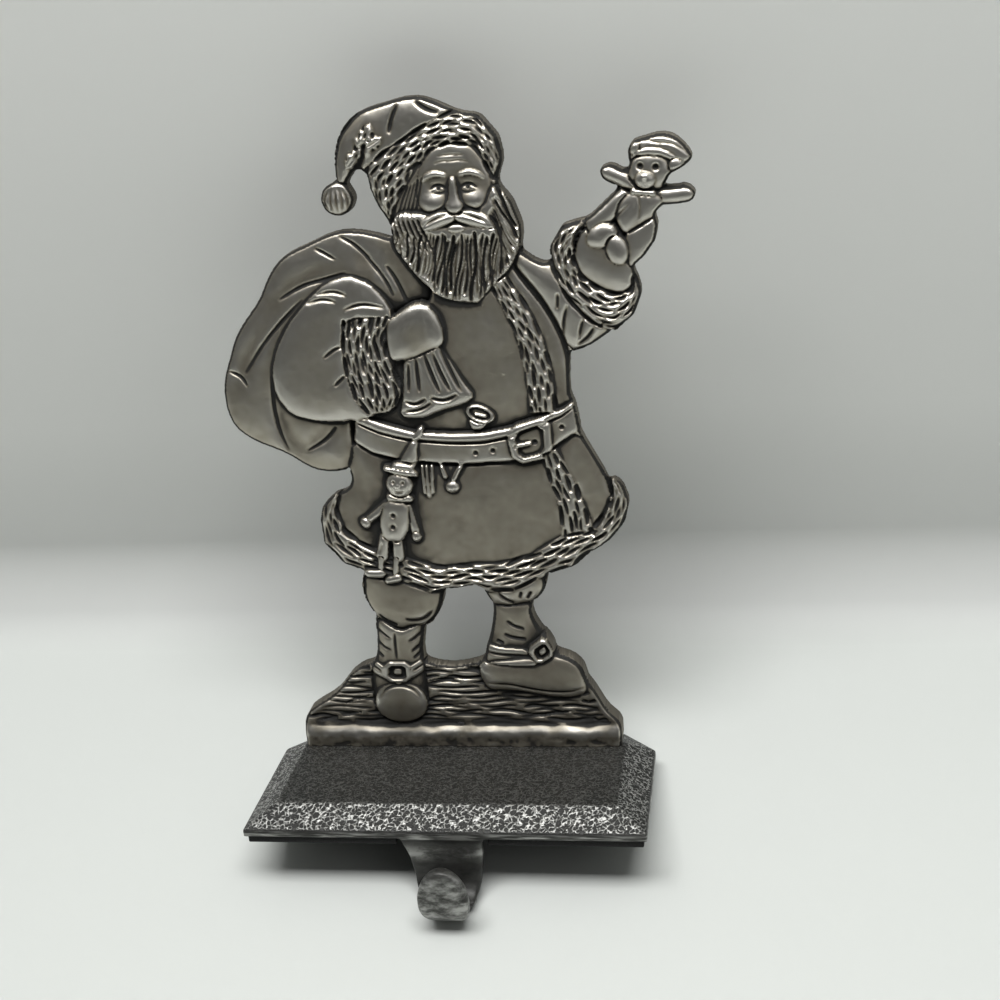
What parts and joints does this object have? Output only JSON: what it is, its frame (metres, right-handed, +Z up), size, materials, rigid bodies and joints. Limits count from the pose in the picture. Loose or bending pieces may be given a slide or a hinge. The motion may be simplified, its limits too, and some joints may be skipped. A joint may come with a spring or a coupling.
{
  "type": "mantel stocking holder",
  "caption": "Cast relief figure plaque screwed to a bevelled mantel base with a foam pad underneath and an upturned front hook for hanging a stocking.",
  "frame": {"origin": "centre of the pad's underside, on the mantel shelf, with the hook hanging below it", "axes": "+X to the viewer's right, +Y away from the viewer towards the wall, +Z up"},
  "size_m": [0.1299, 0.0664, 0.2085],
  "materials": {
    "base": "dark hammered casting with worn bright ridges",
    "figure": "antiqued satin pewter, dark in the hollows",
    "pad": "matt black foam",
    "screw": "plain zinc"
  },
  "bodies": {
    "root": {"base": "base", "figure": "figure", "base_pad": "pad", "figure_screw": "screw"}
  },
  "joints": []
}
